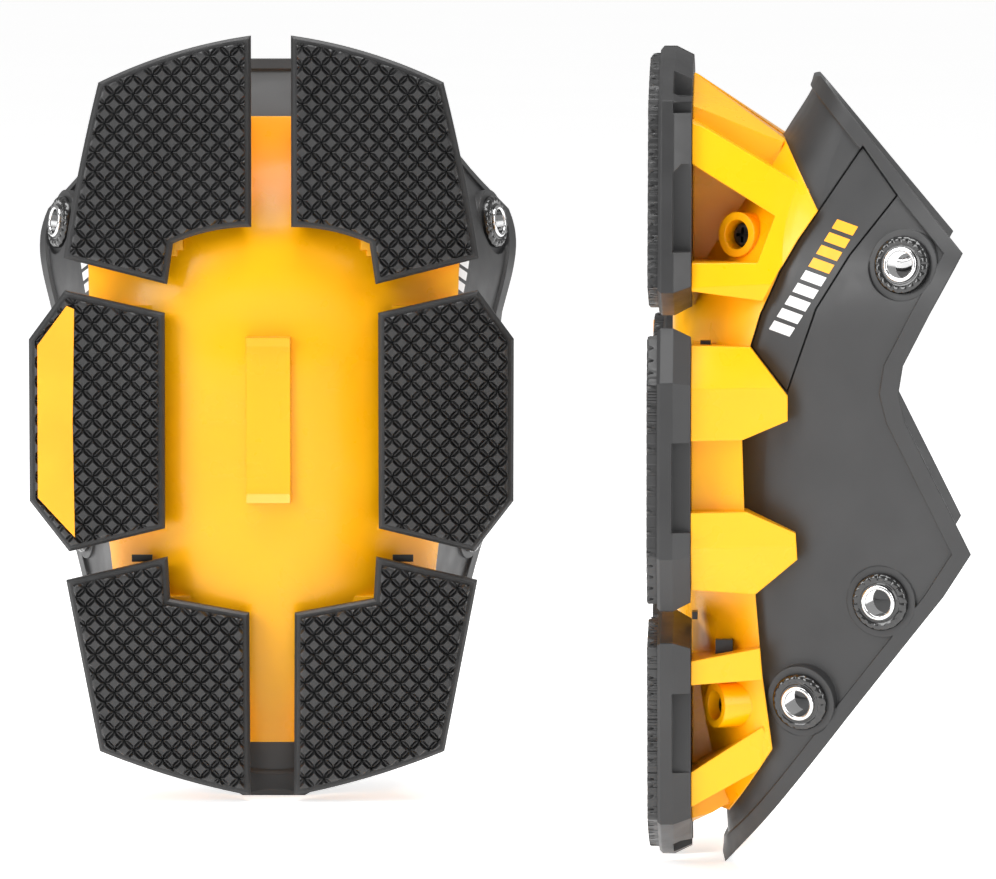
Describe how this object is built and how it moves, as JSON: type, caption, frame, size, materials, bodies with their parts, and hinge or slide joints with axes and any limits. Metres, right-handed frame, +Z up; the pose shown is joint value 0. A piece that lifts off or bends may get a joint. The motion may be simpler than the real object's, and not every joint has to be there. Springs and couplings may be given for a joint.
{
  "type": "knee pad shell pair",
  "caption": "Pair of hard knee pad shells that snap over base pads: domed yellow caps with diamond-tread feet on grey channel-shaped cradles with snap eyelets.",
  "frame": {"origin": "middle of the pair at the level of the lowest point of the cradles", "axes": "+Z up along both shins as worn; the left pad faces -Y and the right pad is turned 92.06 degrees to face -X"},
  "size_m": [0.2901, 0.3158, 0.2417],
  "materials": {
    "cap_yellow": "glossy injection-moulded plastic",
    "cradle_grey": "satin fine-textured plastic",
    "carrier_grey": "satin plastic",
    "tread_rubber": "satin moulded rubber",
    "badge_grey": "satin plastic",
    "label_yellow": "satin print-ready plastic",
    "eyelet_chrome": "polished rolled steel",
    "eyelet_black": "gloss black",
    "washer_steel": "brushed",
    "screw_black": "black oxide",
    "clip_black": "satin black"
  },
  "bodies": {
    "left_knee_pad": {"left_knee_cap": "cap_yellow", "left_knee_cradle": "cradle_grey", "left_knee_carrier_top_left": "carrier_grey", "left_knee_tread_top_left": "tread_rubber", "left_knee_carrier_top_right": "carrier_grey", "left_knee_tread_top_right": "tread_rubber", "left_knee_carrier_middle_left": "carrier_grey", "left_knee_tread_middle_left": "tread_rubber", "left_knee_carrier_middle_right": "carrier_grey", "left_knee_tread_middle_right": "tread_rubber", "left_knee_carrier_bottom_left": "carrier_grey", "left_knee_tread_bottom_left": "tread_rubber", "left_knee_carrier_bottom_right": "carrier_grey", "left_knee_tread_bottom_right": "tread_rubber", "left_knee_badge_panel_left": "badge_grey", "left_knee_badge_panel_right": "badge_grey", "left_knee_label_plate": "label_yellow", "left_knee_eyelet_barrels": "eyelet_chrome", "left_knee_eyelet_rings": "eyelet_black", "left_knee_eyelet_washers": "washer_steel", "left_knee_cap_screws": "screw_black", "left_knee_tread_clips": "clip_black"},
    "right_knee_pad": {"right_knee_cap": "cap_yellow", "right_knee_cradle": "cradle_grey", "right_knee_carrier_top_left": "carrier_grey", "right_knee_tread_top_left": "tread_rubber", "right_knee_carrier_top_right": "carrier_grey", "right_knee_tread_top_right": "tread_rubber", "right_knee_carrier_middle_left": "carrier_grey", "right_knee_tread_middle_left": "tread_rubber", "right_knee_carrier_middle_right": "carrier_grey", "right_knee_tread_middle_right": "tread_rubber", "right_knee_carrier_bottom_left": "carrier_grey", "right_knee_tread_bottom_left": "tread_rubber", "right_knee_carrier_bottom_right": "carrier_grey", "right_knee_tread_bottom_right": "tread_rubber", "right_knee_badge_panel_left": "badge_grey", "right_knee_badge_panel_right": "badge_grey", "right_knee_label_plate": "label_yellow", "right_knee_eyelet_barrels": "eyelet_chrome", "right_knee_eyelet_rings": "eyelet_black", "right_knee_eyelet_washers": "washer_steel", "right_knee_cap_screws": "screw_black", "right_knee_tread_clips": "clip_black"}
  },
  "joints": [
    {"name": "right_pad_turn", "type": "hinge", "parent": "left_knee_pad", "child": "right_knee_pad", "pos_m": [0.09682, -0.07941, 0.1], "axis": [0, 0, 1], "range_deg": [0, 90]}
  ]
}
